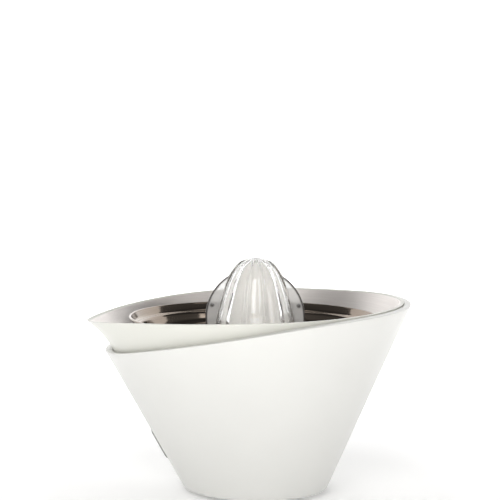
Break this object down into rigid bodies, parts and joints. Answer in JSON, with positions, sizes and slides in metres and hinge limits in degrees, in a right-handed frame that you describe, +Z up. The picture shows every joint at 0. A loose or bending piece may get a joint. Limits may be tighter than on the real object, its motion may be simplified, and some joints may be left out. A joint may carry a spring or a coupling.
{
  "type": "citrus press",
  "caption": "Press-to-start citrus juicer: leaning conical body, lift-out jug with pouring beak, slotted strainer bowl and winged reamer over a fluted core.",
  "frame": {"origin": "on the table, under the axis of the drive shaft", "axes": "+Z up along the drive shaft; the pouring beak points along -X; the mains lead enters at the back, on +Y"},
  "size_m": [0.232, 0.2262, 0.169],
  "materials": {
    "white_gloss": "glossy, ivory white",
    "white_enamel": "glossy, warm white lacquer",
    "satin_steel": "satin, brushed round the bowl",
    "polished_steel": "polished stainless",
    "plate_steel": "dark satin",
    "pearl_plastic": "semi-gloss, pearly white",
    "clear_plastic": "clear, polished",
    "grey_plastic": "matt, light grey",
    "deck_plastic": "matt, off-white",
    "black_plastic": "matt",
    "black_rubber": "matt",
    "acetal": "smooth, natural acetal",
    "shaft_steel": "ground",
    "zinc_steel": "bright zinc",
    "motor_steel": "drawn, dull",
    "sintered_bronze": "dull, oil-filled"
  },
  "bodies": {
    "housing": {"body_shell": "white_gloss", "front_plate": "plate_steel", "base_plate": "deck_plastic", "rubber_feet": "black_rubber", "base_screws": "zinc_steel", "cord_gland": "black_rubber", "jug_seat": "deck_plastic", "seat_screws": "zinc_steel", "gear_tray": "deck_plastic", "tray_screws": "zinc_steel", "motor": "motor_steel", "motor_screws": "zinc_steel", "middle_axle": "shaft_steel", "lower_bush": "sintered_bronze", "upper_bush": "sintered_bronze", "shaft_seal": "black_rubber", "return_spring": "zinc_steel", "microswitch": "black_plastic"},
    "drive_wheel": {"drive_gear": "acetal"},
    "shaft": {"drive_shaft": "shaft_steel", "retaining_ring": "shaft_steel"},
    "middle_wheel": {"middle_gear": "acetal"},
    "motor_rotor": {"motor_pinion": "shaft_steel"},
    "plunger": {"switch_plunger": "grey_plastic"},
    "jug": {"juice_jug": "white_enamel", "jug_liner": "satin_steel"},
    "strainer_bowl": {"strainer": "polished_steel", "strainer_hub": "grey_plastic"},
    "sleeve": {"drive_sleeve": "grey_plastic"},
    "core": {"reamer_core": "pearl_plastic"},
    "cover": {"reamer_cover": "clear_plastic"}
  },
  "joints": [
    {"name": "drive_spin", "type": "hinge", "parent": "housing", "child": "drive_wheel", "pos_m": [0, 0, 0.0575], "axis": [0, 0, 1], "continuous": true},
    {"name": "shaft_press", "type": "slide", "parent": "drive_wheel", "child": "shaft", "axis": [0, 0, 1], "range_m": [-0.003, 0], "stiffness_N_per_m": 800, "springref_m": 0.008, "deforming": ["return_spring"]},
    {"name": "middle_spin", "type": "hinge", "parent": "housing", "child": "middle_wheel", "pos_m": [0.02633, 0.02306, 0.055], "axis": [0, 0, 1], "continuous": true},
    {"name": "motor_spin", "type": "hinge", "parent": "housing", "child": "motor_rotor", "pos_m": [0.033, 0, 0.05], "axis": [0, 0, 1], "continuous": true},
    {"name": "switch_press", "type": "slide", "parent": "housing", "child": "plunger", "axis": [0, 0, 1], "range_m": [-0.003, 0]},
    {"name": "jug_lift", "type": "slide", "parent": "housing", "child": "jug", "axis": [0, 0, 1], "range_m": [0, 0.09]},
    {"name": "strainer_lift", "type": "slide", "parent": "jug", "child": "strainer_bowl", "axis": [0, 0, 1], "range_m": [0, 0.06]},
    {"name": "sleeve_spin", "type": "hinge", "parent": "strainer_bowl", "child": "sleeve", "pos_m": [0, 0, 0.107], "axis": [0, 0, 1], "continuous": true},
    {"name": "core_press", "type": "slide", "parent": "sleeve", "child": "core", "axis": [0, 0, 1], "range_m": [-0.003, 0]},
    {"name": "cover_lift", "type": "slide", "parent": "core", "child": "cover", "axis": [0, 0, 1], "range_m": [0, 0.06]}
  ],
  "couplings": [
    {"joint": "middle_spin", "follows": "drive_spin", "ratio": -4},
    {"joint": "motor_spin", "follows": "drive_spin", "ratio": 16},
    {"joint": "sleeve_spin", "follows": "drive_spin", "ratio": 1},
    {"joint": "switch_press", "follows": "shaft_press", "ratio": 1},
    {"joint": "core_press", "follows": "shaft_press", "ratio": 1}
  ]
}
